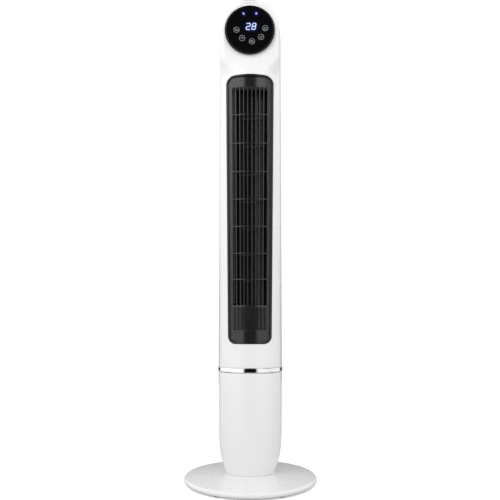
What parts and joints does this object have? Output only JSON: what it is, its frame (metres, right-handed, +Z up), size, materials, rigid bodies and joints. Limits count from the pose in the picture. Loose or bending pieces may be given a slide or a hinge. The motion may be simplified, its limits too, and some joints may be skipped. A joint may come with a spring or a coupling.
{
  "type": "tower fan",
  "caption": "Tower fan on a round base: oscillating column with a ribbed outlet grille, cross-flow impeller, chrome split ring and a round touch panel in an arched head.",
  "frame": {"origin": "on the floor under the centre of the round base", "axes": "+Z up along the column, -Y out of the front grille and touch panel, +X to the viewer's right"},
  "size_m": [0.295, 0.295, 1.098],
  "materials": {
    "white_gloss": "glossy white ABS",
    "base_underside": "satin white ABS",
    "weight_steel": "dark coated steel plate",
    "foot_rubber": "black rubber",
    "screw_steel": "zinc plated steel",
    "inner_plastic": "satin black ABS",
    "pivot_steel": "turned steel",
    "acetal": "natural acetal",
    "chrome_trim": "bright chrome plate",
    "motor_case": "plated steel pressing",
    "motor_core": "laminated core",
    "trim_black": "glossy black ABS",
    "grille_grey": "satin dark grey ABS",
    "impeller_black": "glass filled black plastic",
    "bush_bronze": "sintered bronze",
    "board_green": "printed board",
    "component_black": "moulded electrical parts",
    "capacitor_shell": "capacitor case",
    "loom_jacket": "sleeved wiring",
    "panel_gloss": "piano black acrylic",
    "spring_steel": "plated spring wire",
    "led_body": "clear blue LED"
  },
  "bodies": {
    "base": {"base_disc": "white_gloss", "base_cover": "base_underside", "base_weight": "weight_steel", "rubber_feet": "foot_rubber", "base_screws": "screw_steel", "cover_screws": "screw_steel", "pedestal_shell": "white_gloss", "cable_grommet": "foot_rubber", "pivot_bracket": "inner_plastic", "bracket_screws": "screw_steel", "pivot_tube": "pivot_steel", "slide_ring": "acetal", "retaining_clip": "screw_steel", "oscillation_gear": "acetal"},
    "column": {"chrome_ring": "chrome_trim", "column_chassis": "inner_plastic", "oscillation_motor": "motor_case", "front_housing": "white_gloss", "rear_housing": "white_gloss", "handle_cup": "trim_black", "housing_screws": "screw_steel", "grille_trim": "trim_black", "front_grille": "grille_grey", "louvre_comb": "grille_grey", "air_guide": "inner_plastic", "air_tongue": "inner_plastic", "duct_bottom_plate": "inner_plastic", "duct_top_plate": "inner_plastic", "bearing_holder": "foot_rubber", "upper_bearing": "bush_bronze", "motor_stator": "motor_core", "motor_lower_cap": "motor_case", "motor_upper_cap": "motor_case", "motor_bracket": "inner_plastic", "motor_dampers": "foot_rubber", "motor_screws": "screw_steel", "main_board": "board_green", "board_components": "component_black", "run_capacitor": "capacitor_shell", "terminal_block": "component_black", "wiring_loom": "loom_jacket", "panel_bezel": "panel_gloss", "panel_lens": "panel_gloss", "control_board": "board_green", "display_module": "component_black", "touch_springs": "spring_steel", "indicator_leds": "led_body"},
    "impeller": {"impeller_drum": "impeller_black", "impeller_shaft": "pivot_steel", "motor_rotor": "motor_core", "shaft_coupling": "pivot_steel", "coupling_screw": "screw_steel"},
    "pinion": {"oscillation_pinion": "acetal"}
  },
  "joints": [
    {"name": "column_swing", "type": "hinge", "parent": "base", "child": "column", "pos_m": [0, 0, 0.249], "axis": [0, 0, 1], "range_deg": [-40, 40]},
    {"name": "impeller_spin", "type": "hinge", "parent": "column", "child": "impeller", "pos_m": [0, 0.002, 0.64], "axis": [0, 0, 1], "continuous": true},
    {"name": "pinion_spin", "type": "hinge", "parent": "column", "child": "pinion", "pos_m": [0, 0.03, 0.249], "axis": [0, 0, 1], "range_deg": [-162, 162]}
  ],
  "couplings": [
    {"joint": "pinion_spin", "follows": "column_swing", "ratio": 4}
  ]
}
